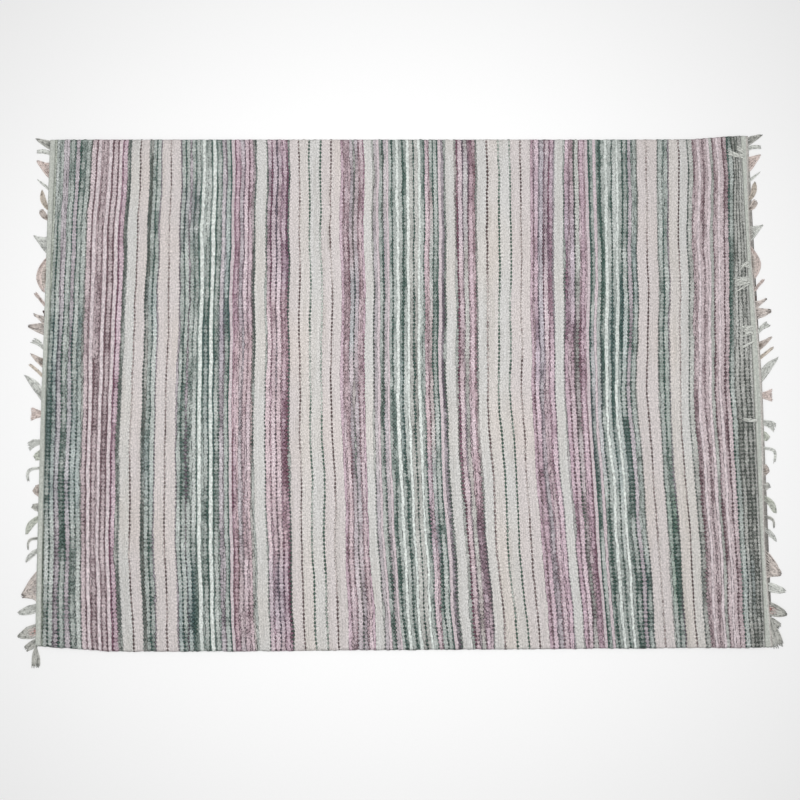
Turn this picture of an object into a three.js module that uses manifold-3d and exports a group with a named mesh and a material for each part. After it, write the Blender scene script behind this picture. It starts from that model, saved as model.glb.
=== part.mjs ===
// A flat-woven kilim rug, laid flat: one piece of cloth, with a header strip and a short uneven fringe
// of knotted warp ends at each end. Millimetres, +X along the rug, +Y across it, +Z up.
// The origin is on the underside, in the middle of the cloth.
import * as THREE from "three";
import { mergeVertices } from "three/addons/utils/BufferGeometryUtils.js";
import Module from "manifold-3d";

const wasm = await Module();
wasm.setup();

// Driving sizes
const clothThickness = 6;
const cordRise = 1.6; // how far a thick single cord stands above the cloth
const leftEnd = -845; // where the cloth's weave ends, at mid width
const rightEnd = 835;
const halfWidth = 611; // where the stripes' course is measured, near the two long edges
const courseBend = 1.2; // the power with which a stripe drifts from its place at mid width
const seamGap = 0.3; // clear space between two pieces
const stripThickness = 3.6;
const lockHeight = 3;
const lockTipHeight = 1.5;
const lockSlit = 1.2; // clear space between two locks of one tuft
const lockRootDepth = 4; // how far a lock starts inside its strip
const lockCrown = 0.5; // width of a lock's top, as a share of its foot
const lockSteps = 5;
const crossRows = 7; // rows of points across the cloth, without those of the two selvedges

// Gives each row of a table as an object that is keyed by the column names.
function table(columns, rows) {
  const names = columns.split(" ");
  return rows.map((row) => Object.fromEntries(row.map((value, i) => [names[i], value])));
}

// The two long edges: how far each lies from the middle, at places along the rug.
const outline = table("along far near", [
  [-860, 611, 600],
  [-787, 611, 606],
  [-700, 611, 613],
  [-420, 611, 613],
  [-97, 611, 610],
  [548, 611, 606],
  [700, 612, 605],
  [780, 619, 605],
  [860, 622, 603],
]);

// The course of the stripes: how far each has drifted along the rug at its far and near end.
const course = table("along far near", [
  [-845, -3, 15],
  [-764, 1, 24],
  [-693, 6, 20],
  [-551, -3, 22],
  [-195, -9, 22],
  [90, -2, 36],
  [375, 8, 34],
  [517, 14, 27],
  [660, 16, 20],
  [800, 16, 14],
  [835, -6, 0],
]);

// The thick single cords of pale yarn that stand above the cloth.
const cords = table("along width", [
  [-743, 9],
  [-717, 8],
  [-690, 7],
  [-481, 7],
  [-455, 8],
  [-405, 5],
  [-8, 7],
  [15, 8],
  [39, 7],
  [90, 5],
  [441, 5],
  [487, 7],
  [510, 7],
  [708, 6],
  [731, 6],
  [755, 6],
]);

// A cord's section: a place across it and the share of its rise there.
const cordSection = table("across rise", [
  [-0.5, 0],
  [-0.25, 0.8],
  [0, 1],
  [0.25, 0.8],
  [0.5, 0],
]);

// The roll of the selvedge: a distance in from the long edge and the share of the thickness there.
const selvedge = table("inset rise", [
  [0, 0.4],
  [2, 0.9],
  [6, 1.05],
  [12, 1],
]);

// The two ends of the weave: a distance in from the end and the share of the thickness there.
const endRoll = table("inset rise", [
  [0, 0.6],
  [3, 1],
]);

// The header strips: side is -1 at the left end and 1 at the right. The outer edge swings in and out.
// The last three columns place the tuft at the near corner, which hangs down past the strip's end.
const strips = table("side width swing waves cornerAt cornerReach cornerRise", [
  [-1, 12, -1.5, 1, -597, -3, -52],
  [1, 15.5, 4.5, 1.7, -550, 7, -52],
]);

// The tufts of the left fringe, from the far corner almost to the near one. A tuft starts at its place
// along the strip, is root wide there, and ends reach outwards and rise further along it, tip wide.
// crook bows its middle line sideways, belly widens its middle, and it is parted into locks.
const tufts = table("at root belly tip reach rise crook locks", [
  [606, 9, 0, 2, 34, 14, 0, 1],
  [596, 9, 0, 2, 28, 10, 0, 1],
  [579, 12, 0, 9, 32, 8, 7, 1],
  [533, 47, 0, 7, 30, 25, 0, 3],
  [488, 12, 0, 2, 30, 25, 0, 1],
  [436, 13, 10, 4, 17, 49, -13, 2],
  [412, 13, 8, 5, 16, 25, -7, 1],
  [357, 38, 0, 7, 34, 22, 0, 3],
  [313, 30, 12, 10, 11, -79, 17, 3],
  [197, 12, 0, 5, 25, 32, 0, 1],
  [160, 19, 5, 4, 28, 15, 0, 1],
  [136, 19, 5, 4, 39, 15, 0, 1],
  [90, 9, 0, 12, 26, 27, 4, 1],
  [58, 21, 0, 5, 30, 24, 0, 2],
  [27, 12, 0, 5, 33, 29, 0, 1],
  [-21, 28, 7, 5, 42, 50, 5, 2],
  [-64, 17, 0, 33, 24, 2, 0, 3],
  [-131, 17, 0, 21, 26, -12, 8, 2],
  [-160, 26, 0, 14, 11, -9, 0, 2],
  [-192, 9, 0, 5, 25, -28, 17, 1],
  [-248, 32, 0, 16, 7, 2, 0, 2],
  [-286, 12, 0, 10, 12, 9, 0, 1],
  [-309, 14, 0, 9, 26, -35, 12, 1],
  [-355, 12, 0, 5, 20, -23, 12, 1],
  [-383, 14, 7, 4, 26, -28, 7, 1],
  [-461, 84, 0, 15, 31, -33, 0, 5],
  [-516, 24, 6, 8, 40, -12, 0, 2],
  [-566, 36, 6, 9, 40, -14, 0, 3],
  [-589, 7, 0, 3, 27, -22, 0, 1],
]);
const cornerTuft = { root: 8, belly: 6, tip: 17, crook: 0, locks: 3 };

// The right fringe has the same tufts, each a little further along, most of all near the near corner.
const rightSlideNear = 50;
const rightSlideFar = 9;
const rightSlidePower = 2.4;

// Warp ends of the right fringe that are folded back and lie on the cloth.
const foldedLocks = table("at reach rise width", [
  [579, 15, 20, 4],
  [567, 39, 15, 5],
  [305, 18, -20, 4],
  [258, 33, -7, 6],
  [138, 21, -7, 5],
  [109, 35, -24, 4],
  [-81, 27, 2, 4],
]);

// The course of a folded lock: out is its distance outwards from the cloth's end in millimetres while
// it climbs from the strip, then a share of its reach over the cloth; foot and top are its heights.
const foldClimb = table("out foot top", [
  [9, 0.8, 3.2],
  [4, 3.2, 5.8],
  [0.8, 6.5, 8.4],
]);
const foldRest = table("share foot top", [
  [0.15, 6.5, 8.6],
  [0.6, 6.4, 8.2],
  [1, 6.4, 7.4],
]);

// Reads a value between the rows of a table, in a straight line from row to row.
function between(rows, from, to, place) {
  const last = rows.length - 1;
  const next = rows.findIndex((row) => row[from] >= place);
  if (next === 0) return rows[0][to];
  if (next < 0) return rows[last][to];
  const a = rows[next - 1];
  const b = rows[next];
  return THREE.MathUtils.mapLinear(place, a[from], b[from], a[to], b[to]);
}

// Where a thread of the weave lies that is at the given place along the rug at mid width.
function drifted(along, y) {
  const drift = between(course, "along", y > 0 ? "far" : "near", along);
  return along + drift * (Math.abs(y) / halfWidth) ** courseBend;
}

// Gives a unit box the shape that place(along, across, up) says, each of the three from 0 to 1.
// On the left side the box is turned over in Y too, so that its faces still point outwards.
function shaped(steps, side, place) {
  const box = new THREE.BoxGeometry(1, 1, 1, ...steps);
  const points = box.getAttribute("position");
  const point = new THREE.Vector3();
  for (let i = 0; i < points.count; i++) {
    point.fromBufferAttribute(points, i).addScalar(0.5);
    point.copy(place(point.x, side < 0 ? 1 - point.y : point.y, point.z));
    points.setXYZ(i, point.x, point.y, point.z);
  }
  box.deleteAttribute("normal");
  box.deleteAttribute("uv");
  return mergeVertices(box);
}

function solidOf(geometry) {
  return new wasm.Manifold(
    new wasm.Mesh({
      numProp: 3,
      vertProperties: geometry.getAttribute("position").array,
      triVerts: new Uint32Array(geometry.index.array),
    }),
  );
}

function meshOf(solid, name, material) {
  const { vertProperties, triVerts } = solid.getMesh();
  const geometry = new THREE.BufferGeometry();
  geometry.setAttribute("position", new THREE.BufferAttribute(vertProperties, 3));
  geometry.setIndex(new THREE.BufferAttribute(triVerts, 1));
  geometry.computeVertexNormals();
  const mesh = new THREE.Mesh(geometry, material);
  mesh.name = name;
  return mesh;
}

// Rows of points across the cloth: a share from the near edge, -1, to the far one, 1, with the inset
// and rise of the selvedge.
function rowsAcross() {
  const middle = Array.from({ length: crossRows }, (_, i) => ({
    share: -1 + (2 * (i + 1)) / (crossRows + 1),
    inset: 0,
    rise: 1,
  }));
  const far = selvedge.map((step) => ({ share: 1, ...step })).reverse();
  const near = selvedge.map((step) => ({ share: -1, ...step }));
  return [...near, ...middle, ...far];
}

// Columns of points along the cloth: a place and its height.
function columnsAlong() {
  const left = endRoll.map((step) => ({
    along: leftEnd + step.inset,
    height: clothThickness * step.rise,
  }));
  const right = endRoll.map((step) => ({
    along: rightEnd - step.inset,
    height: clothThickness * step.rise,
  }));
  const raised = cords.flatMap((cord) =>
    cordSection.map((step) => ({
      along: cord.along + cord.width * step.across,
      height: clothThickness + cordRise * step.rise,
    })),
  );
  return [...left, ...raised, ...right.reverse()];
}

// Where one row of points lies across the rug, at a place along it.
function rowPlace(row, along) {
  const edge = between(outline, "along", row.share > 0 ? "far" : "near", along);
  return row.share * (edge - row.inset);
}

// Where the weave ends on one side, at a place across the rug.
function endPlace(side, y) {
  return drifted(side < 0 ? leftEnd : rightEnd, y);
}

function clothSolid() {
  const rows = rowsAcross();
  const columns = columnsAlong();
  const steps = [columns.length - 1, rows.length - 1, 1];
  const geometry = shaped(steps, 1, (u, v, w) => {
    const column = columns[Math.round(u * steps[0])];
    const row = rows[Math.round(v * steps[1])];
    const y = rowPlace(row, column.along);
    return new THREE.Vector3(drifted(column.along, y), y, w * column.height * row.rise);
  });
  return solidOf(geometry).simplify();
}

// The outer edge of a header strip, at a place across the rug.
function stripEdge(strip, y) {
  const swing = strip.swing * Math.cos((strip.waves * Math.PI * y) / halfWidth);
  return endPlace(strip.side, y) + strip.side * (seamGap + strip.width + swing);
}

function stripSolid(strip) {
  const rows = rowsAcross();
  const along = strip.side < 0 ? leftEnd : rightEnd;
  const steps = [1, rows.length - 1, 1];
  const geometry = shaped(steps, strip.side, (u, v, w) => {
    const y = rowPlace(rows[Math.round(v * steps[1])], along);
    const inner = endPlace(strip.side, y) + strip.side * seamGap;
    return new THREE.Vector3(u < 0.5 ? inner : stripEdge(strip, y), y, w * stripThickness);
  });
  return solidOf(geometry);
}

// The tufts of one strip: those of the right fringe are slid a little along it.
function tuftsOf(strip) {
  const slid = tufts.map((tuft) => {
    const share = (tuft.at + halfWidth) / (2 * halfWidth);
    const slide = THREE.MathUtils.lerp(rightSlideNear, rightSlideFar, share ** rightSlidePower);
    return { ...tuft, at: tuft.at + (strip.side > 0 ? slide : 0) };
  });
  const corner = { at: strip.cornerAt, reach: strip.cornerReach, rise: strip.cornerRise };
  return [...slid, { ...cornerTuft, ...corner }];
}

// One lock: a bar of four sides with a flat foot, which takes its share of the tuft's width. The tuft
// is parted along the strip at its root and turns to lie square to its own line.
function lockSolid(tuft, strip, index) {
  const length = Math.hypot(tuft.reach, tuft.rise);
  const sideways = new THREE.Vector2(-tuft.rise, tuft.reach).divideScalar(length);
  const edge = stripEdge(strip, tuft.at);
  const geometry = shaped([lockSteps, 1, 1], strip.side, (u, v, w) => {
    const width = THREE.MathUtils.lerp(tuft.root, tuft.tip, u) + tuft.belly * Math.sin(Math.PI * u);
    const pitch = width / tuft.locks;
    const crown = w > 0.5 ? lockCrown : 1;
    const across = (index + 0.5) * pitch - width / 2 + (v - 0.5) * crown * (pitch - lockSlit);
    const bow = tuft.crook * Math.sin(Math.PI * u);
    const turned = 1 - (1 - u) ** 2;
    const off = across * turned + bow;
    const out = u * tuft.reach + off * sideways.x - (1 - u) * lockRootDepth;
    const rise = u * tuft.rise + off * sideways.y + across * (1 - turned);
    const height = THREE.MathUtils.lerp(lockHeight, lockTipHeight, u);
    return new THREE.Vector3(edge + strip.side * out, tuft.at + rise, w * height);
  });
  return solidOf(geometry);
}

// A lock that climbs from its strip and lies on the cloth, clear of it.
function foldedSolid(lock, strip) {
  const edge = endPlace(strip.side, lock.at);
  const whole = foldClimb[0].out + lock.reach;
  const stations = [
    ...foldClimb,
    ...foldRest.map((rest) => ({ ...rest, out: -rest.share * lock.reach })),
  ];
  const last = stations.length - 1;
  const geometry = shaped([last, 1, 1], -strip.side, (u, v, w) => {
    const station = stations[Math.round(u * last)];
    const done = (foldClimb[0].out - station.out) / whole;
    const width = lock.width * (1 - done / 2) * (w > 0.5 ? lockCrown : 1);
    const y = lock.at + lock.rise * done + (v - 0.5) * width;
    return new THREE.Vector3(
      edge + strip.side * station.out,
      y,
      w > 0.5 ? station.top : station.foot,
    );
  });
  return solidOf(geometry);
}

function fringeSolid(strip) {
  const locks = tuftsOf(strip).flatMap((tuft) =>
    Array.from({ length: tuft.locks }, (_, index) => lockSolid(tuft, strip, index)),
  );
  const folded = strip.side > 0 ? foldedLocks.map((lock) => foldedSolid(lock, strip)) : [];
  return [...locks, ...folded].reduce((whole, lock) => whole.add(lock), stripSolid(strip));
}

const wovenCloth = new THREE.MeshStandardMaterial({
  color: 0xb9b4b1,
  roughness: 0.95,
  metalness: 0,
});
const cottonFringe = new THREE.MeshStandardMaterial({
  color: 0xb7b9b0,
  roughness: 0.9,
  metalness: 0,
});

const rug = new THREE.Group();
rug.add(
  meshOf(clothSolid(), "rug_body", wovenCloth),
  meshOf(fringeSolid(strips[0]), "fringe_left", cottonFringe),
  meshOf(fringeSolid(strips[1]), "fringe_right", cottonFringe),
);

export default rug;
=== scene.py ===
"""A flat-woven striped kilim rug that lies flat: the cloth, pick by pick, a pale header strip along
each end and a short fringe of cotton warp ends. The tables are in millimetres: along the rug, across
it and up. MM turns them into the frame's metres."""

import math
import random

import bmesh
import bpy
from mathutils import Matrix, Vector, noise


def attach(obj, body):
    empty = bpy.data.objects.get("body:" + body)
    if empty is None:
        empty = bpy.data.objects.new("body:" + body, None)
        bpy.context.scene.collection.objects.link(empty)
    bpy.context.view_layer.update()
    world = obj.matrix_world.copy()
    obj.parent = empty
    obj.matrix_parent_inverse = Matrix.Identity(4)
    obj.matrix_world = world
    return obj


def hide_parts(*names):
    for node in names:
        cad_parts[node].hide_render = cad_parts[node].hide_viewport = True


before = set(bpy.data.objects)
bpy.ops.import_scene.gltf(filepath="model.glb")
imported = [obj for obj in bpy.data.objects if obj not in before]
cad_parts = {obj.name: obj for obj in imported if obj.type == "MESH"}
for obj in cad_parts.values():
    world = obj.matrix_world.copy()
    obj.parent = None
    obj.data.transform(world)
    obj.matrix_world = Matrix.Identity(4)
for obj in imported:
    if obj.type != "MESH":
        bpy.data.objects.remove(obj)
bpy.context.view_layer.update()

MM = 0.001

# Driving sizes, those of the solids
CLOTH_THICKNESS = 6
CORD_RISE = 1.6
LEFT_END = -845
RIGHT_END = 835
HALF_WIDTH = 611
COURSE_BEND = 1.2
SEAM_GAP = 0.3
STRIP_THICKNESS = 3.6

# The weave: a weft shows over every other warp, as a bead
MIDDLE_WARPS = 255  # warps between the two selvedges
BACK_STEPS = 12  # rows of faces across the back
FLECK_SIZE = 3  # the flecks of the yarn, drawn as coarse as they need to show
RAISED_CORDS = "wk"  # the letters of the cords that stand above the cloth
RUN_FADE = 20  # the length over which a run fades out at each end
STRETCH_FADE = 60  # the same for a stretch
CALM_REACH = 30  # how far from the cloth's ends the picks wander in full
JUST_INSIDE = 0.001  # how far inside its face a corner notes its pick and warp


def table(columns, rows):
    """Each row of a table as a dict that is keyed by the column names."""
    names = columns.split()
    return [dict(zip(names, row)) for row in rows]


# How far the two long edges lie from the middle, at places along the rug
outline = table("along far near", [
    (-860, 611, 600), (-787, 611, 606), (-700, 611, 613), (-420, 611, 613), (-97, 611, 610),
    (548, 611, 606), (700, 612, 605), (780, 619, 605), (860, 622, 603),
])

# The course of the stripes: how far each has drifted along the rug at its far and near end, and how much
# further it bows out halfway to each
course = table("along far near far_bow near_bow", [
    (-845, -3, 15, 0, 0), (-764, 1, 24, -3, -3), (-693, 6, 20, -2, -6), (-551, -3, 22, 1, -4),
    (-195, -9, 22, 0, -1), (90, -2, 36, 1.5, -2), (375, 8, 34, 1, 0), (517, 14, 27, 3, 1),
    (660, 16, 20, 3, 1), (790, 16, 14, 4, 2), (835, -6, 0, 0, 0),
])

# The roll of the selvedge: a distance in from the long edge and the share of the thickness there
selvedge = table("inset rise", [(0, 0.4), (2.2, 0.9), (6, 1.05), (11, 1)])

# How a yarn is spun and beaten in: how dark it is as a rule and where it is deep, from 0 to 100, how much
# darker and paler picks take turns, how uneven and how flecked it is, how deep the hollows beside it are and
# how much painted shade darkens them, how high its beads stand, how much its neighbours squeeze it and how
# thick it is beside them. Where the squeeze is 0, a yarn is squeezed only where it is dark.
spins = {spin["spin"]: spin for spin in table(
    "spin usual deep turns uneven flecks dips relief squeezed girth", [
        ("smooth", 9, 13, 0, 0.5, 0.5, 0.2, 0.1, 0, 1),
        ("cord", 10, 18, 0, 0.35, 0.35, 0.3, 0.1, 0.2, 1.1),
        ("mottled", 54, 68, 15, 0.9, 1, 1.2, 0.5, 0, 1),
        ("edging", 60, 71, 0, 1.2, 1, 1, 0.5, 0, 1),
        ("dotted", 60, 74, 0, 2.3, 1.2, 0.85, 0.5, 0.37, 1.35),
        ("tape", 14, 30, 0, 0.6, 0.4, 0.12, 0.3, 0, 1),
        ("frayed", 15, 40, 0, 0.6, 0.6, 0.3, 0.4, 0, 1),
    ])}

# The yarns: the letter that stands for each in the draft, how it is spun, and its light, middle and dark
# shade
yarns = {yarn["letter"]: {**spins[yarn["spin"]], **yarn} for yarn in table(
    "letter name spin light middle dark", [
        ("i", "ivory", "smooth", "cfcecc", "b7b5b1", "6f6f6a"),
        ("c", "cream", "smooth", "d2cdca", "bab6b0", "736c68"),
        ("l", "blush", "smooth", "d1cac9", "bcb6b3", "766c6b"),
        ("w", "white cord", "cord", "dbe0dc", "c0c7c3", "6c7c76"),
        ("k", "pink cord", "cord", "d9cdd0", "c3b5b9", "7a6069"),
        ("a", "petal", "cord", "cfc3c7", "b9abb0", "76636a"),
        ("s", "sage", "mottled", "cdd2c9", "a4aaa0", "58675b"),
        ("t", "teal", "mottled", "d1d5d2", "a0a7a3", "445b54"),
        ("m", "mauve", "mottled", "d4ced2", "aaa3a8", "665e66"),
        ("r", "rose", "mottled", "e1d2d8", "bbaab0", "735962"),
        ("d", "dusty rose", "mottled", "dfd2d5", "b7a8ab", "70595f"),
        ("p", "plum", "mottled", "decdd5", "b8a2ac", "6c4959"),
        ("g", "grey", "mottled", "cecfcb", "a3a4a0", "5a605b"),
        ("e", "edging", "edging", "cecfcc", "9ea29e", "4e5753"),
        ("b", "brown", "dotted", "cfc8c4", "9c908e", "554747"),
        ("v", "green", "dotted", "cbcec8", "929c94", "465b50"),
        ("h", "header cotton", "tape", "c8cbc4", "a8ada6", "686d66"),
        ("f", "frayed cotton", "frayed", "cdcac5", "b2ada8", "6a6461"),
    ])}

# How a yarn's tone wanders along it: how far, how unlike its neighbour it does so, over what length, and
# which layer of the noise it reads
wanderings = table("name depth unlike length layer", [
    ("strand", 44, 2.7, 300, 15), ("long runs", 28, 1.7, 70, 3), ("short runs", 16, 2.3, 18, 9),
])
BEAD_DEPTH = 8  # how far single beads stray from that
PALEST = 0.25  # the least that is left of a yarn's usual tone
DARKEST = 95

# Colours that a yarn takes on for a stretch, where it was spun with another
casts = {cast["name"]: cast for cast in table("name light middle dark", [
    ("sea", "c9d3d2", "98a5a6", "455a5d"),
    ("moss", "c9d2cb", "90a296", "3f6150"),
    ("violet", "d3ced7", "a8a0ac", "5c5261"),
    ("coral", "e0d0d3", "bfa7aa", "7a6065"),
    ("magenta", "dfcad4", "b69ca9", "6c4a5b"),
    ("taupe", "d3cecb", "a59f9c", "625b58"),
    ("peach", "d6cabf", "c6b9ae", "7a6e66"),
])}

# The draft: where each band of the weave starts at mid width, and its picks from left to right, a letter
# for each. A capital is a deeper pick.
draft = table("start picks", [
    (-845, "stTTmmTttmTttt"), (-764, "gdD"), (-745, "k"), (-738, "dDd"), (-719, "k"), (-712, "DdD"),
    (-693, "k"), (-686, "PPgE"), (-660, "iii"), (-641, "b"), (-635, "lll"), (-617, "EgTTtm"),
    (-582, "lll"), (-563, "b"), (-557, "lll"), (-537, "mtTTmTtTt"), (-484, "w"), (-476, "tTT"),
    (-458, "w"), (-451, "TTtmmtT"), (-410, "a"), (-404, "pPrMmrrrgE"), (-347, "iiii"),
    (-326, "ErprMrpPpE"), (-266, "lll"), (-247, "b"), (-240, "ccc"), (-222, "v"), (-214, "iii"),
    (-195, "v"), (-186, "lll"), (-170, "b"), (-163, "lll"), (-144, "prrrmEmrrp"), (-87, "iii"),
    (-71, "Em"), (-59, "a"), (-53, "TTm"), (-34, "a"), (-30, "TTT"), (-13, "w"), (-5, "TTT"),
    (12, "w"), (19, "gTg"), (37, "w"), (44, "TtrrtTtT"), (88, "a"), (94, "me"), (108, "iii"),
    (127, "EPrmgrprE"), (183, "iii"), (199, "b"), (208, "ccc"), (226, "v"), (235, "iii"),
    (254, "v"), (261, "lll"), (280, "b"), (287, "lll"), (306, "PrpmmrrpPm"), (366, "iii"),
    (383, "eprrGgrPr"), (438, "a"), (443, "TTaTTT"), (481, "w"), (489, "tTT"), (506, "w"),
    (513, "TTtTmtTg"), (560, "lll"), (578, "b"), (585, "lll"), (605, "EtTTm"), (637, "ccc"),
    (656, "b"), (662, "iii"), (677, "EgdD"), (703, "k"), (710, "DdD"), (726, "k"), (734, "gDd"),
    (750, "k"), (757, "dDdTtGgGgGGgG"),
])

# Stretches where the yarns take on another colour: their middle along the rug and across it, how far they
# reach each way, how strongly, and how much darker they are there
stretches = table("along across reach spread cast share darker", [
    (-828, -65, 18, 245, "sea", 0.48, 14), (-826, 480, 22, 150, "taupe", 0, -20),
    (-778, -65, 15, 245, "sea", 0.42, 6), (-598, 190, 12, 60, "sea", 0.36, 8),
    (-598, -200, 12, 80, "sea", 0.36, 0), (-511, -505, 18, 110, "sea", 0.48, 16),
    (-511, 405, 18, 80, "violet", 0.3, 4), (-460, 0, 14, 160, "sea", 0.36, 8),
    (-418, 310, 10, 175, "sea", 0.42, 4), (-432, 100, 6, 80, "violet", 0.48, 0),
    (-380, 365, 24, 230, "magenta", 0.36, 4), (-380, -235, 24, 370, "coral", 0.42, -2),
    (-298, 415, 24, 175, "violet", 0.3, 4), (-298, -80, 24, 315, "coral", 0.36, 0),
    (-298, -486, 24, 80, "violet", 0.36, 4), (-113, 0, 22, 600, "coral", 0.3, 0),
    (-117, 180, 6, 95, "sea", 0.54, 14), (-51, 0, 22, 600, "taupe", 0.3, 0),
    (0, -45, 8, 120, "sea", 0.42, 12), (3, 0, 8, 600, "sea", 0, 12), (62, 160, 6, 325, "coral", 0.48, -4),
    (62, -288, 8, 126, "violet", 0.42, 4), (154, 0, 26, 600, "coral", 0.3, 0),
    (152, 470, 12, 120, "violet", 0.42, 4), (170, -450, 10, 150, "violet", 0.36, 6),
    (334, 430, 24, 160, "violet", 0.3, 4), (330, 115, 12, 115, "violet", 0.42, 6),
    (345, -300, 26, 260, "magenta", 0.3, 0), (401, 330, 12, 205, "violet", 0.42, 8),
    (413, -200, 28, 400, "magenta", 0.36, 2), (460, -35, 14, 180, "violet", 0.3, 2),
    (462, 0, 18, 600, "sea", 0, 14), (509, 0, 22, 270, "sea", 0.36, 8),
    (550, 280, 8, 85, "sea", 0.48, 12), (550, -504, 9, 90, "sea", 0.54, 22),
    (623, -380, 10, 130, "moss", 0.7, 16), (623, -60, 10, 140, "moss", 0.2, 8),
    (797, -468, 14, 60, "sea", 0.42, 8),
])

# Shorter runs where one or a few picks are darker or paler than their neighbours
runs = table("along across reach spread darker", [
    # The run at 793 along and 600 across is painted shade: it darkens the far corner of the right end, where
    # the real cloth curls up a little.
    (-829, -100, 3, 520, 20), (793, 600, 15, 26, 32), (-842, -127, 4, 96, 20), (-837, 300, 4, 190, 22),
    (-780, -264, 4, 42, 30), (-800, -288, 5, 90, 22),
    (-729, -19, 5, 84, 40), (-707, 425, 3, 168, 22), (-699, 233, 4, 144, 25), (-638, 440, 4, 110, 28),
    (-638, 40, 4, 150, -24), (-638, -240, 4, 80, 25), (-638, -520, 4, 100, 30), (-611, 437, 4, 132, 18),
    (-560, 40, 4, 200, -14), (-559, -414, 4, 144, 20), (-507, -222, 4, 48, 40), (-414, 125, 4, 204, 15),
    (-399, -198, 3, 96, 40), (-395, 281, 4, 72, 30), (-311, 347, 3, 102, 28), (-304, -444, 3, 66, 28),
    (-279, -138, 4, 108, 25), (-272, 317, 4, 204, 15), (-267, -378, 4, 132, 20), (-244, 556, 4, 36, 25),
    (-244, 185, 4, 48, 20), (-244, -210, 4, 156, 25), (-244, -576, 4, 42, 30), (-218, 544, 4, 48, 20),
    (-218, 149, 4, 60, 30), (-218, -127, 4, 96, 18), (-218, -318, 4, 96, -25), (-218, -480, 4, 54, 25),
    (-191, 520, 5, 72, 16), (-191, -127, 5, 72, 28), (-191, -366, 5, 144, -16), (-171, 484, 3, 36, 28),
    (-171, 371, 3, 42, 38), (-170, -138, 3, 467, -30), (-164, 137, 3, 48, 38), (-164, 400, 3, 160, -30),
    (-162, -438, 3, 168, 14), (-116, 197, 5, 60, 22), (-61, -121, 4, 66, 28), (-38, 401, 3, 48, 28),
    (-26, -486, 5, 72, 24), (9, -306, 3, 84, 24), (31, -13, 3, 114, 24), (56, -306, 4, 60, 36),
    (72, 520, 4, 48, 28), (102, 5, 4, 60, 28), (102, 197, 4, 60, 24), (135, 341, 3, 132, 24),
    (167, -246, 4, 72, 32), (202, 449, 4, 24, 32), (202, 305, 4, 48, 25), (203, 125, 4, 36, 34),
    (203, -7, 4, 96, -22), (204, -414, 4, 192, 12), (230, 377, 5, 72, 20), (229, 95, 4, 42, 30),
    (231, -91, 4, 84, 25), (230, 227, 5, 66, -15), (258, 95, 4, 66, 34), (258, -330, 4, 84, 38),
    (258, -127, 4, 96, -16), (283, 496, 4, 48, 34), (283, -390, 4, 48, 30), (283, -534, 4, 24, 30),
    (283, -31, 4, 48, -22), (323, 161, 5, 72, 24), (323, -198, 3, 72, 28), (392, 221, 3, 108, 32),
    (398, -127, 4, 144, 18), (474, 41, 6, 72, 26), (485, 320, 3, 300, 16),
    (510, 320, 3, 300, 16), (519, 185, 4, 72, 32), (531, -198, 4, 120, 40),
    (558, 137, 3, 72, 26), (582, 341, 4, 60, 30), (580, 161, 4, 72, 20), (582, -103, 4, 72, 20),
    (582, 508, 4, 60, -22), (637, -510, 4, 96, 26), (659, 413, 4, 180, 14), (659, 47, 4, 114, -30),
    (659, -174, 4, 72, 36), (659, -498, 4, 108, 24), (694, -282, 4, 84, 30), (723, -546, 4, 60, 28),
    (742, -342, 8, 72, 26), (786, 257, 3, 168, 24), (819, -127, 7, 192, 18), (823, -438, 8, 168, 14),
])

# The header strips: the outer edge swings in and out. picks are its rows of cotton, from the cloth
# outwards, and the last columns place the tuft at the near corner, which hangs down past its end.
strips = table(
    "side name width swing waves picks corner_at corner_reach corner_rise corner_root corner_tip", [
        (-1, "left", 12, -1.5, 1, "hhhh", -597, -3, -54, 14, 20),
        (1, "right", 15.5, 4.5, 1.7, "hhhf", -546, 15, -60, 26, 30),
    ])

# The cotton of the fringe: its shade, the colour of its stains and of the painted shade at its root, and how
# # strongly it takes that colour at its root and its tip. At the root this is painted shade where the middle
# of
# # a tuft bunches, except on the blotted cotton, whose red blot at the root is real.
cottons = {cotton["name"]: cotton for cotton in table("name shade stain root tip", [
    ("sage", "d6dacf", "6c6e66", 0.3, 0.2),
    ("silver", "e0e2dd", "74766f", 0.2, 0.3),
    ("bleached", "e0e2dc", "a4a69f", 0, 0),
    ("blush", "e4d6d0", "7a6660", 0.3, 0.2),
    ("tipped", "ded5cf", "4c4643", 0.2, 1),
    ("straw", "dad0c4", "6e6556", 0.3, 0.4),
    ("spotted", "d8cec7", "54493f", 0.8, 0.3),
    ("smoke", "ccccc6", "4e514c", 0.6, 0.7),
    ("blotted", "decfca", "c58580", 1, 0),
    ("singed", "5a4440", "3a2a28", 1, 1),
])}

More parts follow.
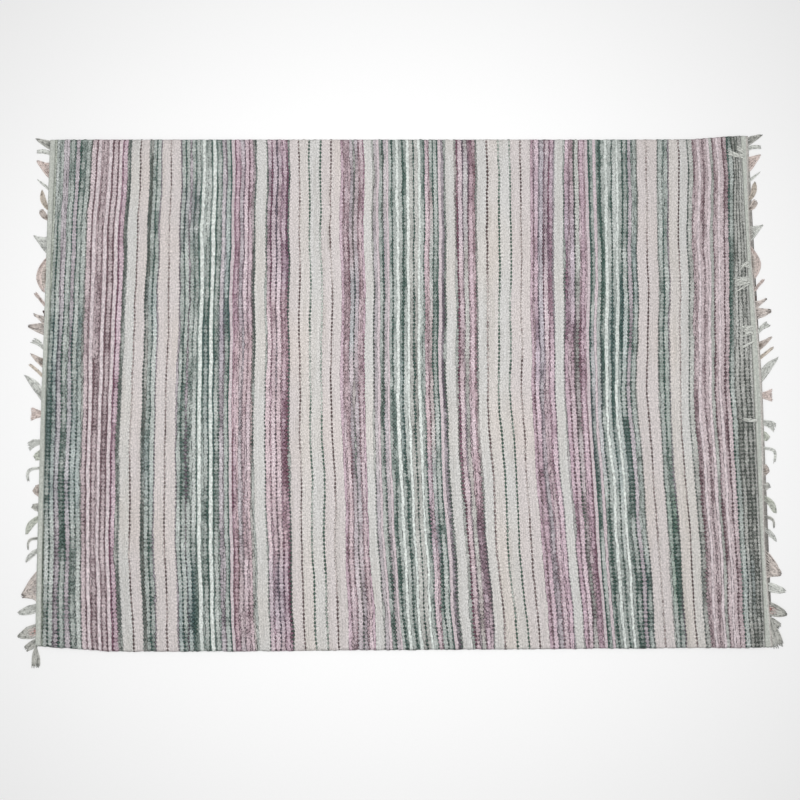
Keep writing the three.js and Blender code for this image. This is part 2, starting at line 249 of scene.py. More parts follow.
# The tufts of the left fringe, from the far corner almost to the near one. A tuft starts at its place
# along the strip, is root wide there, and ends reach outwards and rise further along it, tip wide.
# crook bows its middle line sideways and belly widens its middle.
tufts = table("at root belly tip reach rise crook cotton", [
    (597, 26, 2, 3, 36, 18, 0, "smoke"), (577, 14, 0, 11, 32, 5, 3, "silver"),
    (533, 46, -3, 5, 31, 26, 0, "blush"), (486, 12, 0, 3, 29, 26, 0, "silver"),
    (436, 10, 13, 2, 17, 49, -5, "straw"), (412, 12, 6, 12, 17, 24, -3, "spotted"),
    (347, 50, -6, 3, 32, 23, 0, "silver"), (313, 14, 10, 6, 1, -84, 16, "blush"),
    (270, 62, 0, 50, 12, 0, 0, "spotted"), (197, 11, 0, 8, 25, 32, 0, "blush"),
    (168, 6, 0, 5, 3, 19, 0, "singed"), (160, 26, -4, 5, 27, 18, 0, "tipped"),
    (140, 34, 0, 8, 38, 8, 0, "tipped"), (90, 9, 0, 18, 27, 24, 4, "silver"),
    (56, 25, 0, 4, 31, 25, 0, "spotted"), (27, 12, 0, 6, 33, 29, 0, "straw"),
    (-21, 30, 6, 3, 42, 50, 3, "silver"), (-64, 12, 0, 36, 25, 0, 0, "blush"),
    (-131, 14, 0, 24, 28, -12, 4, "silver"), (-160, 28, 0, 14, 13, -10, 0, "sage"),
    (-192, 10, 0, 9, 24, -34, 17, "silver"), (-245, 36, 0, 16, 12, 6, 0, "spotted"),
    (-286, 24, 0, 12, 15, 6, 0, "smoke"), (-309, 16, 7, 8, 26, -38, 6, "sage"),
    (-355, 10, 0, 5, 21, -28, 12, "smoke"), (-383, 12, 9, 2, 27, -30, 3, "silver"),
    (-468, 84, -8, 10, 33, -22, 0, "tipped"), (-516, 24, 6, 8, 41, -12, 0, "silver"),
    (-566, 34, 8, 7, 40, -15, 0, "smoke"), (-569, 22, 2, 16, 17, -6, 0, "blotted"),
    (-591, 14, 6, 14, 22, -19, 0, "smoke"),
])
corner_tuft = {"belly": 6, "crook": 0, "cotton": "smoke"}

# The right fringe has the same tufts, each slid a little along it, most of all near the near corner
SLIDE_NEAR = 50
SLIDE_FAR = 9
SLIDE_POWER = 2.4

# Warp ends of the right fringe that are folded back and lie on the cloth
folded_ends = table("at reach rise width", [
    (579, 17, 16, 9), (567, 41, 14, 9), (305, 22, -20, 6), (289, 18, 12, 5), (258, 40, -5, 16),
    (250, 42, -30, 3), (138, 26, -6, 18), (109, 37, -24, 5), (-81, 36, 3, 6),
])

# The climb of a folded end: how far out from the cloth's end it is, and the height of its middle
fold_climb = table("out height", [(9, 1.8), (4, 4.6), (0.8, 7.6)])
FOLD_HEIGHT = 7.7

# The yarns of the fringe
YARN_WIDTH = 2.2
YARN_HEIGHT = 1.6
YARN_SIDES = 6
YARN_STATIONS = 9
YARN_SPACING = 1.7
YARN_LIFT = 1.2  # how much higher every other yarn of a tuft lies
ROOT_DEPTH = 2.5  # how far inside its header strip a yarn starts

# The yarns of a folded end
FOLDED_WIDTH = 2
FOLDED_THICKNESS = 1.2
FOLDED_SPACING = 1.6
FOLDED_LIFT = 0.4

FLOOR_DEPTH = 0.5  # how far the studio floor lies below the rug


def mix(a, b, share):
    return a + (b - a) * share


def clamp(value, low, high):
    return min(max(value, low), high)


def waver(x, y, z):
    """Smooth noise from about -1 to 1, always the same at the same place."""
    return noise.noise(Vector((x, y, z)))


def between(rows, column, place):
    """Reads a column between the rows of a table, in a straight line from row to row."""
    if place <= rows[0]["along"]:
        return rows[0][column]
    for low, high in zip(rows, rows[1:]):
        if place <= high["along"]:
            return mix(low[column], high[column], (place - low["along"]) / (high["along"] - low["along"]))
    return rows[-1][column]


def drifted(along, y):
    """Where a thread of the weave lies that is at this place along the rug at mid width."""
    side = "far" if y > 0 else "near"
    out = abs(y) / HALF_WIDTH
    bow = between(course, side + "_bow", along) * math.sin(math.pi * min(out, 1))
    return along + between(course, side, along) * out ** COURSE_BEND + bow


def cloth_end(side, y):
    """Where the weave ends: on the left for a side of -1, on the right for 1."""
    return drifted(LEFT_END if side < 0 else RIGHT_END, y)


def strip_edge(strip, y):
    """The outer edge of a header strip."""
    swing = strip["swing"] * math.cos(strip["waves"] * math.pi * y / HALF_WIDTH)
    return cloth_end(strip["side"], y) + strip["side"] * (SEAM_GAP + strip["width"] + swing)


def channels(code):
    """The three parts of a colour's sRGB hex code, from 0 to 1."""
    return [int(code[i:i + 2], 16) / 255 for i in (0, 2, 4)]


def linear(parts):
    """sRGB parts turned into the linear ones that Blender works with."""
    return [c / 12.92 if c <= 0.04045 else ((c + 0.055) / 1.055) ** 2.4 for c in parts]


def shade(yarn, tone):
    """A yarn's colour at a tone from 0, its light shade, over its middle one at 50 to 100, its dark one."""
    tone = clamp(tone, 0, 99.9) / 50
    low, high = ("light", "middle") if tone < 1 else ("middle", "dark")
    return linear([mix(a, b, tone % 1) for a, b in zip(channels(yarn[low]), channels(yarn[high]))])


# Meshes

def wrapped_grid(bm, columns, around, place):
    """Adds a grid that is wrapped into a tube. place(column, step) gives a point. Returns its faces with
    the column and step of each corner."""
    made = bmesh.ops.create_grid(bm, x_segments=columns - 1, y_segments=around, size=0.5)["verts"]
    spots = {v: (round((v.co.x + 0.5) * (columns - 1)), round((v.co.y + 0.5) * around)) for v in made}
    for vert, (column, step) in spots.items():
        vert.co = place(column, step % around)
    faces = {face for vert in made for face in vert.link_faces}
    faces = sorted(faces, key=lambda face: min(spots[vert] for vert in face.verts))
    return [(face, [spots[loop.vert] for loop in face.loops]) for face in faces]


def close_up(bm):
    """Joins the seam of a wrapped grid, fills its two ends and turns its faces outwards."""
    bmesh.ops.remove_doubles(bm, verts=bm.verts, dist=1e-6)
    rims = [edge for edge in bm.edges if edge.is_boundary]
    bmesh.ops.holes_fill(bm, edges=rims, sides=0)
    bmesh.ops.recalc_face_normals(bm, faces=bm.faces)


def piece(bm, name, material):
    """Makes an object of a finished mesh and puts it in the scene."""
    mesh = bpy.data.meshes.new(name)
    bm.to_mesh(mesh)
    bm.free()
    mesh.shade_smooth()
    mesh.materials.append(material)
    made = bpy.data.objects.new(name, mesh)
    bpy.context.scene.collection.objects.link(made)
    return made


# The woven cloth and the header strips

def picks_of_cloth():
    """The wefts one by one, from the left end of the cloth to the right. A band's picks share its width
    by their girths."""
    picks = []
    ends = [band["start"] for band in draft[1:]] + [RIGHT_END]
    for band, end in zip(draft, ends):
        girths = [yarns[letter.lower()]["girth"] for letter in band["picks"]]
        done = 0
        for letter, girth in zip(band["picks"], girths):
            along = mix(band["start"], end, (done + girth / 2) / sum(girths))
            picks.append(pick_of(letter, along))
            done += girth
    return picks


def pick_of(letter, along):
    """One pick at its place along the rug, with its yarn and the runs and stretches that reach it."""
    yarn = yarns[letter.lower()]
    return {
        "along": along,
        "yarn": yarn,
        "deeper": 0 if letter.islower() else yarn["deep"] - yarn["usual"],
        "runs": [run for run in runs if abs(run["along"] - along) < run["reach"] + 1],
        "stretches": [each for each in stretches if abs(each["along"] - along) < each["reach"] + 1],
        "rise": CORD_RISE if letter in RAISED_CORDS else 0,
    }


def fade(run, y, soft):
    """How much of a run there is at y: all in its middle, half at its ends and none a little past them."""
    return clamp((run["spread"] - abs(y - run["across"])) / soft + 0.5, 0, 1)


def bead_tone(pick, index, y):
    """How dark one bead is: its yarn's tone, with the runs, spots and turns of hand-spun yarn. Where a
    mottled band darkens, its pale picks darken less than those between them."""
    yarn = pick["yarn"]
    darker = pick["deeper"] + sum(run["darker"] * fade(run, y, RUN_FADE) for run in pick["runs"])
    if yarn["spin"] in ("mottled", "edging"):
        darker += sum(each["darker"] * fade(each, y, STRETCH_FADE) for each in pick["stretches"])
    turn = 1 if index % 2 else -1
    if yarn["turns"]:
        darker *= 1 + 0.55 * turn
    uneven = 0
    for each in wanderings:
        uneven += each["depth"] * waver(index * each["unlike"], y / each["length"], each["layer"])
    uneven += random.uniform(-BEAD_DEPTH, BEAD_DEPTH)
    tone = yarn["usual"] + darker + turn * yarn["turns"] + yarn["uneven"] * uneven
    return clamp(tone, PALEST * yarn["usual"], DARKEST)


def bead_colour(pick, index, y):
    """A bead's colour: its yarn's own, or partly that of the yarn that was spun in with it there. The last
    number tells how much its neighbours squeeze it: dark yarn is thinner."""
    tone = bead_tone(pick, index, y)
    colour = shade(pick["yarn"], tone)
    taken = clamp(0.7 + 1.6 * waver(index * 3.7, y / 200, 21), 0, 1.2)
    if pick["yarn"]["spin"] in ("mottled", "edging"):
        for each in pick["stretches"]:
            share = clamp(each["share"] * taken, 0, 1) * fade(each, y, STRETCH_FADE)
            colour = [mix(a, b, share) for a, b in zip(colour, shade(casts[each["cast"]], tone))]
    if pick["yarn"]["spin"] == "smooth":
        warm = clamp(0.03 + 0.4 * waver(pick["along"] / 90, y / 200, 31), 0, 0.25)
        colour = [mix(a, b, warm) for a, b in zip(colour, shade(casts["peach"], tone))]
    squeezed = pick["yarn"]["squeezed"] or clamp((tone - 30) / 80, 0, 0.5)
    return [*colour, squeezed]


def cross_section(along):
    """The warps at one place along the cloth, from the far selvedge to the near one: (across, rise)."""
    far, near = between(outline, "far", along), between(outline, "near", along)
    inset = selvedge[-1]["inset"]
    middle = [mix(far - inset, inset - near, (i + 1) / (MIDDLE_WARPS + 1)) for i in range(MIDDLE_WARPS)]
    far_roll = [(far - step["inset"], step["rise"]) for step in selvedge]
    near_roll = [(step["inset"] - near, step["rise"]) for step in reversed(selvedge)]
    return far_roll + [(y, 1) for y in middle] + near_roll


WARPS = len(cross_section(0))


def loop_around(column, place):
    """The points around the cloth at one pick: over its top from far to near, then back below."""
    points = []
    section = cross_section(column["along"])
    for warp, (y, rise) in enumerate(section):
        crown = 1 if (column["index"] + warp) % 2 == 0 else -1
        at_edge = warp in (0, WARPS - 1)
        y += math.copysign(1 + 0.2 * crown if crown > 0 else -0.8, y) if at_edge else 0
        y += 2 * waver(column["index"] * 0.7, warp * 0.7, 2) if column["relief"] else 0
        z = column["height"] * rise + 0.5 * column["relief"] * crown * rise
        points.append(Vector((place(column, y), y, z)) * MM)
    far, near = section[0][0] - 1.5, section[-1][0] + 1.5
    for step in range(BACK_STEPS):
        y = mix(near, far, (step + 0.5) / BACK_STEPS)
        points.append(Vector((place(column, y), y, 0)) * MM)
    return points


def columns_of(picks, thickness):
    """A column of points for each pick and for the two ends of the weave, which are pressed flat."""
    columns = []
    for pick in picks:
        columns.append({**pick, "height": thickness + pick["rise"], "relief": pick["yarn"]["relief"]})
    pressed = {"height": 0.6 * thickness, "relief": 0}
    columns = [{**picks[0], **pressed, "end": -1}, *columns, {**picks[-1], **pressed, "end": 1}]
    return [{"end": 0, **column, "index": index} for index, column in enumerate(columns)]


def paint_weave(bm, faces, columns, colours):
    """Gives each face its two beads' colours, the yarns' lie, and the pick and warp at its corners. These
    are kept just inside the face, so that the shader always reads the right bead."""
    weave = bm.loops.layers.uv["weave"]
    weft, next_weft, lie = (bm.loops.layers.float_color[name] for name in ("weft", "next_weft", "lie"))
    for face, spots in faces:
        first = min(column for column, _ in spots)
        row = min(step for _, step in spots)
        on_top = row < WARPS - 1
        turn = (first + row) % 2 if on_top else 0
        for loop, (column, step) in zip(face.loops, spots):
            warp = row if on_top else back_warp(step)
            loop[weft] = colours[first][min(warp + turn, WARPS - 1)]
            loop[next_weft] = colours[first + 1][min(warp + 1 - turn, WARPS - 1)]
            loop[lie] = lie_between(columns[first]["yarn"], columns[first + 1]["yarn"], loop.vert.co.y / MM)
            across = row + (JUST_INSIDE if step == row else 1 - JUST_INSIDE) if on_top else warp
            along = first + (JUST_INSIDE if column == first else 1 - JUST_INSIDE)
            loop[weave].uv = (along, across)


def back_warp(step):
    """The warp that lies above a point of the underside."""
    share = (step - WARPS + 0.5) / BACK_STEPS
    return round((WARPS - 1) * (1 - clamp(share, 0, 1)))


def lie_between(yarn, other, y):
    """How two neighbouring picks lie together: how deep the hollows between them are and how dark their
    painted shade is, how beaded they are and the flecks. Towards the near edge the hollows are deeper and
    their painted shade darker, and thin yarn shows as beads instead of strands. A thick cord hides the beads
    beside it, and a dotted yarn shows as beads all along."""
    # Depth and painted shade of the hollows between the picks, more towards the near edge
    depth = 0.5 * (yarn["dips"] + other["dips"]) * (1 - 0.3 * y / HALF_WIDTH)
    beads = clamp(0.85 - 0.4 * y / HALF_WIDTH, 0.4, 1)
    if "cord" in (yarn["spin"], other["spin"]):
        beads = 0.2
    if "dotted" in (yarn["spin"], other["spin"]):
        beads = 1
    return (depth, beads, 0.5 * (yarn["flecks"] + other["flecks"]), 1)


def woven(name, picks, thickness, place):
    """A closed cloth of beads: a point for each pick and warp on top, and longer faces below."""
    columns = columns_of(picks, thickness)
    warps = [y for y, _ in cross_section(0)]
    colours = [[bead_colour(column, column["index"], y) for y in warps] for column in columns]
    points = [loop_around(column, place) for column in columns]
    bm = bmesh.new()
    bm.loops.layers.uv.new("weave")
    for layer in ("weft", "next_weft", "lie"):
        bm.loops.layers.float_color.new(layer)
    faces = wrapped_grid(bm, len(columns), WARPS + BACK_STEPS, lambda column, step: points[column][step])
    paint_weave(bm, faces, columns, colours)
    close_up(bm)
    return piece(bm, name, woven_yarn())


def place_in_cloth(column, y):
    """Where a pick lies: on its stripe's course, wandering as hand-beaten picks do, but straight at the
    cloth's ends."""
    if column["end"]:
        return cloth_end(column["end"], y)
    along = column["along"]
    calm = min(1, (along - LEFT_END) / CALM_REACH, (RIGHT_END - along) / CALM_REACH)
    wander = 5 * waver(along / 100, y / 150, 5)
    wander += 1.6 * waver(column["index"] * 0.6, y / 45, 7)
    wander += 0.9 * waver(column["index"] * 1.9, y / 14, 17)
    return drifted(along, y) + calm * wander


def header(strip):
    """The tightly woven strip along one end of the cloth, of undyed cotton. On the right its outermost
    pick has frayed."""
    side = strip["side"]
    end = LEFT_END if side < 0 else RIGHT_END
    letters = strip["picks"] if side > 0 else strip["picks"][::-1]
    picks = [{**pick_of(letter, end), "runs": [], "stretches": []} for letter in letters]

    def place(column, y):
        share = column["index"] / (len(picks) + 1)
        inner, outer = cloth_end(side, y) + side * SEAM_GAP, strip_edge(strip, y)
        ragged = 1.5 * abs(waver(y / 7, side, 4))
        return mix(inner, outer - side * ragged, share if side > 0 else 1 - share)

    return woven("header_" + strip["name"], picks, STRIP_THICKNESS, place)


# The fringe

def tufts_of(strip):
    """The tufts of one fringe, with the one at its near corner."""
    slid = []
    for tuft in tufts:
        share = (tuft["at"] + HALF_WIDTH) / (2 * HALF_WIDTH)
        slide = mix(SLIDE_NEAR, SLIDE_FAR, share ** SLIDE_POWER) if strip["side"] > 0 else 0
        slid.append({**tuft, "at": tuft["at"] + slide})
    corner = {column: strip["corner_" + column] for column in ("at", "reach", "rise", "root", "tip")}
    return slid + [{**corner_tuft, **corner}]


def yarn_course(tuft, strip, share, end, lift):
    """The middle line of one yarn of a tuft: share is its place across the tuft, from -0.5 to 0.5, end is
    its length as a share of the tuft's, and lift is how much higher it starts."""
    length = math.hypot(tuft["reach"], tuft["rise"])
    sideways = (-tuft["rise"] / length, tuft["reach"] / length)
    edge = strip_edge(strip, tuft["at"])
    points = []
    for station in range(YARN_STATIONS):
        done = end * station / (YARN_STATIONS - 1)
        arch = math.sin(math.pi * done)
        width = mix(tuft["root"], tuft["tip"], done) + tuft["belly"] * arch - YARN_WIDTH
        across = share * max(width, 1) + 1.6 * waver(share * 9 + tuft["at"], done * 3, lift)
        turned = 1 - (1 - done) ** 2
        off = across * turned + tuft["crook"] * arch
        out = done * tuft["reach"] + off * sideways[0] - (1 - done) * ROOT_DEPTH
        rise = done * tuft["rise"] + off * sideways[1] + across * (1 - turned)
        up = YARN_HEIGHT / 2 + lift * (1 - 0.6 * done)
        points.append(Vector((edge + strip["side"] * out, tuft["at"] + rise, up)))
    return points


def add_yarn(bm, points, tints, width=YARN_WIDTH, height=YARN_HEIGHT):
    """One twisted yarn along a course of points. tints gives its colour at each point."""
    def place(column, step):
        point = points[column]
        ahead = points[min(column + 1, len(points) - 1)] - points[max(column - 1, 0)]
        sideways = Vector((-ahead.y, ahead.x, 0)).normalized()
        taper = 0.5 if column in (0, len(points) - 1) else 1
        angle = 2 * math.pi * step / YARN_SIDES
        return (point + taper * (sideways * width / 2 * math.cos(angle)
                                 + Vector((0, 0, height / 2 * math.sin(angle))))) * MM

    lengths = [0]
    for a, b in zip(points, points[1:]):
        lengths.append(lengths[-1] + (b - a).length)
    twist, tint = bm.loops.layers.uv["twist"], bm.loops.layers.float_color["tint"]
    for face, spots in wrapped_grid(bm, len(points), YARN_SIDES, place):
        for loop, (column, step) in zip(face.loops, spots):
            loop[twist].uv = (lengths[column] / YARN_WIDTH, step / YARN_SIDES)
            loop[tint] = tints[column]


def tinted(cotton, points, share):
    """The colour of one yarn along its length: mottled, with stains at its tip, and, in the middle of its
    tuft, darker at its root: painted shade where the yarns bunch; on the blotted cotton that colour is a
    real red blot. share is its place across the tuft."""
    lightness = random.uniform(0.9, 1.05)
    # Painted shade at the root, strongest in the middle of the tuft; on the blotted cotton a real red blot
    root = cotton["root"] * clamp(1.5 - 4 * abs(share), 0, 1)
    tip = cotton["tip"] * random.uniform(0.3, 1)
    tints = []
    for i, point in enumerate(points):
        done = i / (len(points) - 1)
        # Tip stains and the root's painted shade, then real dark specks along the yarn
        stain_and_root_shade = clamp(root * (1.2 - 2.8 * done), 0, 1) + clamp(tip * (5 * done - 4), 0, 1)
        stain_and_root_shade += clamp(3 * noise.noise(point / 4) - 1.2, 0, 0.5)
        dyed = zip(channels(cotton["shade"]), channels(cotton["stain"]))
        tints.append((*linear([mix(a * lightness, b, min(stain_and_root_shade, 1)) for a, b in dyed]), 1))
    return tints


def fringe(strip):
    """All the yarns of one fringe, tuft by tuft, and on the right the folded ends."""
    bm = bmesh.new()
    bm.loops.layers.uv.new("twist")
    bm.loops.layers.float_color.new("tint")
    for tuft in tufts_of(strip):
        count = max(3, round(0.5 * (tuft["root"] + tuft["tip"] + tuft["belly"]) / YARN_SPACING))
        for i in range(count):
            share = (i + 0.5) / count - 0.5
            points = yarn_course(tuft, strip, share, random.uniform(0.88, 1.02), YARN_LIFT * (i % 2))
            add_yarn(bm, points, tinted(cottons[tuft["cotton"]], points, share))
    if strip["side"] > 0:
        for end in folded_ends:
            add_folded(bm, end, strip)
    close_up(bm)
    return piece(bm, "fringe_yarns_" + strip["name"], cotton_yarn())


def add_folded(bm, end, strip):
    """Warp ends that climb from the header strip, lie on the cloth and splay out there."""
    edge = cloth_end(strip["side"], end["at"])
    whole = fold_climb[0]["out"] + end["reach"]
    course_of = [(step["out"], step["height"]) for step in fold_climb]
    course_of += [(-share * end["reach"], FOLD_HEIGHT) for share in (0.2, 0.4, 0.6, 0.8, 1)]
    count = round(end["width"] / FOLDED_SPACING)
    for i in range(count):
        share = (i + 0.5) / count - 0.5
        reach = random.uniform(0.6, 1)
        points = []
        for out, height in course_of:
            out = out * reach if out < 0 else out
            done = (fold_climb[0]["out"] - out) / whole
            y = end["at"] + end["rise"] * done ** 1.5 + share * end["width"] * (1 + 0.6 * done)
            y += 2.5 * waver(out / 9, i * 1.7, end["at"])
            points.append(Vector((edge + strip["side"] * out, y, height + FOLDED_LIFT * (i % 2))))
        tints = tinted(cottons["bleached"], points, share)
        add_yarn(bm, points, tints, FOLDED_WIDTH, FOLDED_THICKNESS)


# Materials

def add_node(tree, kind, inputs=None, **settings):
    """Adds one node with its settings. inputs gives sockets a value, an output, or a node's first output."""
    made = tree.nodes.new(kind)
    for name, value in settings.items():
        setattr(made, name, value)
    for name, value in (inputs or {}).items():
        if isinstance(value, bpy.types.Node):
            value = value.outputs[0]
        if isinstance(value, bpy.types.NodeSocket):
            tree.links.new(value, made.inputs[name])
        else:
            made.inputs[name].default_value = value
    return made


def dress(tree, colour, bump, roughness, gloss):
    """Plugs a finish into the material's own shader."""
    shader = tree.nodes["Principled BSDF"]
    tree.links.new(colour.outputs[0], shader.inputs["Base Color"])
    if bump:
        tree.links.new(bump.outputs[0], shader.inputs["Normal"])
    shader.inputs["Roughness"].default_value = roughness
    shader.inputs["Specular IOR Level"].default_value = gloss


def new_material(name):
    """A material and its nodes, or None for the nodes where an earlier piece has made it."""
    made = bpy.data.materials.get(name)
    if made:
        return made, None
    made = bpy.data.materials.new(name)
    made.use_nodes = True
    return made, made.node_tree


def woven_yarn():
    """Thick cotton and chenille wefts over hidden warps: each bead is domed, takes its own dyed colour, is
    darkened by painted shade in the hollows around it and flecked where pale and dark fibres were spun
    together."""
    made, tree = new_material("Woven cotton and chenille weft")
    if not tree:
        return made
    uv = add_node(tree, "ShaderNodeUVMap", uv_map="weave")
    spot = add_node(tree, "ShaderNodeSeparateXYZ", {0: uv}).outputs
    lie = add_node(tree, "ShaderNodeAttribute", attribute_name="lie").outputs["Vector"]
    dips, beads, flecks = add_node(tree, "ShaderNodeSeparateXYZ", {0: lie}).outputs
    weft = add_node(tree, "ShaderNodeAttribute", attribute_name="weft").outputs
    next_weft = add_node(tree, "ShaderNodeAttribute", attribute_name="next_weft").outputs
    # How far a point is from the crown of this pick's bead and from that of the next one
    pick = add_node(tree, "ShaderNodeMath", {0: spot[0]}, operation="FLOOR")
    beside = add_node(tree, "ShaderNodeMath", {0: spot[0]}, operation="FRACT")
    parity = add_node(tree, "ShaderNodeMath", {0: spot[1], 1: pick}, operation="ADD")
    along = add_node(tree, "ShaderNodeMath", {0: parity, 1: 1.0}, operation="PINGPONG")
    to_this = far_from_crown(tree, beside, along, beads, weft["Alpha"])
    rest = add_node(tree, "ShaderNodeMath", {0: 1.0, 1: beside}, operation="SUBTRACT")
    left = add_node(tree, "ShaderNodeMath", {0: 1.0, 1: along}, operation="SUBTRACT")
    to_next = far_from_crown(tree, rest, left, beads, next_weft["Alpha"])
    is_next = add_node(tree, "ShaderNodeMath", {0: to_this, 1: to_next}, operation="GREATER_THAN")
    nearest = add_node(tree, "ShaderNodeMath", {0: to_this, 1: to_next}, operation="MINIMUM")
    dyed = add_node(tree, "ShaderNodeMix", {0: is_next, 6: weft["Color"], 7: next_weft["Color"]},
                    data_type="RGBA").outputs[2]
    # Painted shade: the hollows and creases between the beads are drawn darker
    painted_hollow_shade = painted_shade_of_weave(tree, spot, pick, nearest, to_this, to_next)
    # The flecks, drawn out along the yarn
    place = add_node(tree, "ShaderNodeTexCoord").outputs["Object"]
    stretched = add_node(tree, "ShaderNodeMapping", {"Vector": place, "Scale": (1, 0.65, 1)})
    fibre = add_node(tree, "ShaderNodeTexNoise", {"Vector": stretched, "Scale": 1 / (FLECK_SIZE * MM),
                                                  "Detail": 3.0, "Roughness": 0.7}).outputs["Fac"]
    fleck = add_node(tree, "ShaderNodeMapRange", {"Value": fibre, "From Min": 0.36, "From Max": 0.64,
                                                  "To Min": 0.5, "To Max": -0.36})
    flecked = add_node(tree, "ShaderNodeMath", {0: fleck, 1: flecks}, operation="MULTIPLY")
    # The dyed colour, darkened by painted shade in the hollows and by the flecks, over domed beads
    darker = add_node(tree, "ShaderNodeMath", {0: painted_hollow_shade, 1: dips, 2: flecked}, operation="MULTIPLY_ADD")
    kept = add_node(tree, "ShaderNodeMath", {0: 1.0, 1: darker}, operation="SUBTRACT")
    colour = add_node(tree, "ShaderNodeVectorMath", {0: dyed, "Scale": kept}, operation="SCALE")
    domed = add_node(tree, "ShaderNodeMath", {0: nearest, 1: dips}, operation="MULTIPLY")
    relief = add_node(tree, "ShaderNodeMath", {0: fibre, 1: -0.3, 2: domed}, operation="MULTIPLY_ADD")
    bump = add_node(tree, "ShaderNodeBump", {"Height": relief, "Strength": 0.3, "Distance": 2 * MM},
                    invert=True)
    dress(tree, colour, bump, roughness=0.95, gloss=0.15)
    return made


def far_from_crown(tree, beside, along, beads, squeezed):
    """The square of the distance from a bead's crown, and more where its neighbours squeeze the yarn. A
    squeezed yarn shows as beads, any other as a strand."""
    thin = add_node(tree, "ShaderNodeMapRange", {"Value": squeezed, "From Min": 0.2, "From Max": 0.45,
                                                 "To Max": 0.75})
    beaded = add_node(tree, "ShaderNodeMath", {0: thin, 1: beads, 2: 0.3}, operation="MULTIPLY_ADD")
    narrowed = add_node(tree, "ShaderNodeMath", {0: along, 1: beaded}, operation="MULTIPLY")
    here = add_node(tree, "ShaderNodeCombineXYZ", {0: beside, 1: narrowed, 2: 1.0})
    same = add_node(tree, "ShaderNodeCombineXYZ", {0: beside, 1: narrowed, 2: squeezed})
    square = add_node(tree, "ShaderNodeVectorMath", {0: here, 1: same}, operation="DOT_PRODUCT")
    return square.outputs["Value"]


def painted_shade_of_weave(tree, spot, pick, nearest, to_this, to_next):
    """Painted shade in the weave: darker away from each bead's crown, most where four beads meet, and broken
    dark lines in the creases between one pick and the next.
    """
    hollow_shade = add_node(tree, "ShaderNodeMapRange", {"Value": nearest, "From Min": 0.2, "From Max": 1.0,
                                                   "To Max": 0.22})
    apart = add_node(tree, "ShaderNodeMath", {0: to_this, 1: to_next}, operation="SUBTRACT")
    apart = add_node(tree, "ShaderNodeMath", {0: apart}, operation="ABSOLUTE")
    crease_shade = add_node(tree, "ShaderNodeMapRange", {"Value": apart, "From Min": 0.0, "From Max": 0.35,
                                                   "To Min": 1.0, "To Max": 0.0})
    thread = add_node(tree, "ShaderNodeCombineXYZ", {0: pick, 1: spot[1]})
    spaced = add_node(tree, "ShaderNodeMapping", {"Vector": thread, "Scale": (5.3, 0.3, 1)})
    gaps = add_node(tree, "ShaderNodeTexNoise", {"Vector": spaced, "Scale": 1.0, "Detail": 2.0})
    dash = add_node(tree, "ShaderNodeMapRange", {"Value": gaps, "From Min": 0.44, "From Max": 0.54})
    dashed = add_node(tree, "ShaderNodeMath", {0: crease_shade, 1: dash}, operation="MULTIPLY")
    return add_node(tree, "ShaderNodeMath", {0: hollow_shade, 1: dashed}, operation="MAXIMUM")


def cotton_yarn():
    """Undyed cotton warp ends: each yarn has its own tint, two plies twisted round each other with painted
    shade along the groove between them, and fuzz.
    """
    made, tree = new_material("Undyed twisted cotton")
    if not tree:
        return made
    uv = add_node(tree, "ShaderNodeUVMap", uv_map="twist")
    spot = add_node(tree, "ShaderNodeSeparateXYZ", {0: uv}).outputs
    around = add_node(tree, "ShaderNodeMath", {0: spot[1], 1: 2.0}, operation="MULTIPLY")
    turned = add_node(tree, "ShaderNodeMath", {0: spot[0], 1: 0.7, 2: around}, operation="MULTIPLY_ADD")
    ply = add_node(tree, "ShaderNodeMath", {0: turned, 1: 0.5}, operation="PINGPONG")
    tint = add_node(tree, "ShaderNodeAttribute", attribute_name="tint").outputs["Color"]
    place = add_node(tree, "ShaderNodeTexCoord").outputs["Object"]
    fuzz = add_node(tree, "ShaderNodeTexNoise", {"Vector": place, "Scale": 1 / (4 * MM), "Detail": 3.0})
    # Painted shade: each yarn is darker towards the groove between its two plies
    light = add_node(tree, "ShaderNodeMapRange", {"Value": ply, "From Min": 0.0, "From Max": 0.3,
                                                  "To Min": 0.84, "To Max": 1.0})
    fuzzy = add_node(tree, "ShaderNodeMapRange", {"Value": fuzz, "From Min": 0.34, "From Max": 0.48,
                                                  "To Min": 0.55, "To Max": 1.05})
    kept = add_node(tree, "ShaderNodeMath", {0: light, 1: fuzzy}, operation="MULTIPLY")
    colour = add_node(tree, "ShaderNodeVectorMath", {0: tint, "Scale": kept}, operation="SCALE")
    relief = add_node(tree, "ShaderNodeMath", {0: fuzz, 1: 0.3, 2: ply}, operation="MULTIPLY_ADD")
    bump = add_node(tree, "ShaderNodeBump", {"Height": relief, "Strength": 0.6, "Distance": 0.8 * MM})
    dress(tree, colour, bump, roughness=0.9, gloss=0.2)
    return made


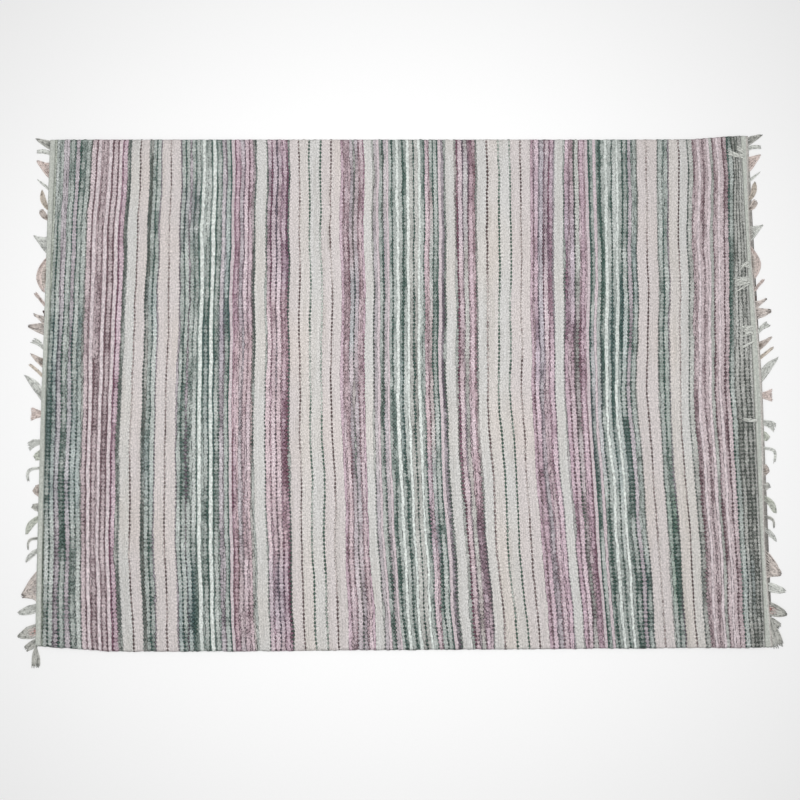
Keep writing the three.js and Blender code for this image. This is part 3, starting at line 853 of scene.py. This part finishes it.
def studio_paper():
    """A matt white sweep of paper with a barely visible tooth."""
    made, tree = new_material("White studio paper")
    place = add_node(tree, "ShaderNodeTexCoord").outputs["Object"]
    tooth = add_node(tree, "ShaderNodeTexNoise", {"Vector": place, "Scale": 400.0})
    tone = add_node(tree, "ShaderNodeMapRange", {"Value": tooth, "To Min": 0.93, "To Max": 0.96})
    colour = add_node(tree, "ShaderNodeCombineXYZ", {0: tone, 1: tone, 2: tone})
    dress(tree, colour, None, roughness=0.9, gloss=0.1)
    return made


# Studio

def studio():
    """A plain pale floor under an even white sky, with one large soft light overhead."""
    bm = bmesh.new()
    bmesh.ops.create_grid(bm, x_segments=1, y_segments=1, size=6)
    floor = piece(bm, "studio_floor", studio_paper())
    floor.data.transform(Matrix.Translation((0, 0, -FLOOR_DEPTH * MM)))
    world = bpy.data.worlds.new("Pale studio")
    world.use_nodes = True
    world.node_tree.nodes["Background"].inputs["Color"].default_value = (1, 1, 1, 1)
    world.node_tree.nodes["Background"].inputs["Strength"].default_value = 0.52
    bpy.context.scene.world = world
    lamp_light("overhead_softbox", (-0.12, 0.2, 3.0), size=1.4, watts=19)


def lamp_light(name, spot, size, watts):
    light = bpy.data.lights.new(name, "AREA")
    light.shape = "SQUARE"
    light.size = size
    light.energy = watts
    light.spread = math.radians(100)
    lamp = bpy.data.objects.new(name, light)
    lamp.location = spot
    lamp.rotation_euler = (-Vector(spot)).to_track_quat("-Z", "Y").to_euler()
    bpy.context.scene.collection.objects.link(lamp)


def camera():
    """The photo's view: nearly straight down, from a little towards the near edge."""
    data = bpy.data.cameras.new("camera")
    data.lens = 49.284
    data.sensor_width = 36
    data.shift_x = -0.0025
    data.shift_y = -0.006875
    made = bpy.data.objects.new("camera", data)
    made.location = (0, -0.3659, 2.5766)
    made.rotation_euler = (math.radians(7.7), 0, 0)
    bpy.context.scene.collection.objects.link(made)
    bpy.context.scene.camera = made


def build():
    """Makes the pieces, hangs them under the root body and hides the solids they take the place of."""
    random.seed(12)
    rug = woven("woven_cloth", picks_of_cloth(), CLOTH_THICKNESS, place_in_cloth)
    headers = [header(strip) for strip in strips]
    fringes = [fringe(strip) for strip in strips]
    nodes = ["rug_body"] + ["fringe_" + strip["name"] for strip in strips] * 2
    for made, node in zip((rug, *headers, *fringes), nodes):
        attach(made, "root")
        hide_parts(node)


build()
studio()
camera()
bpy.context.scene.view_settings.view_transform = "Standard"
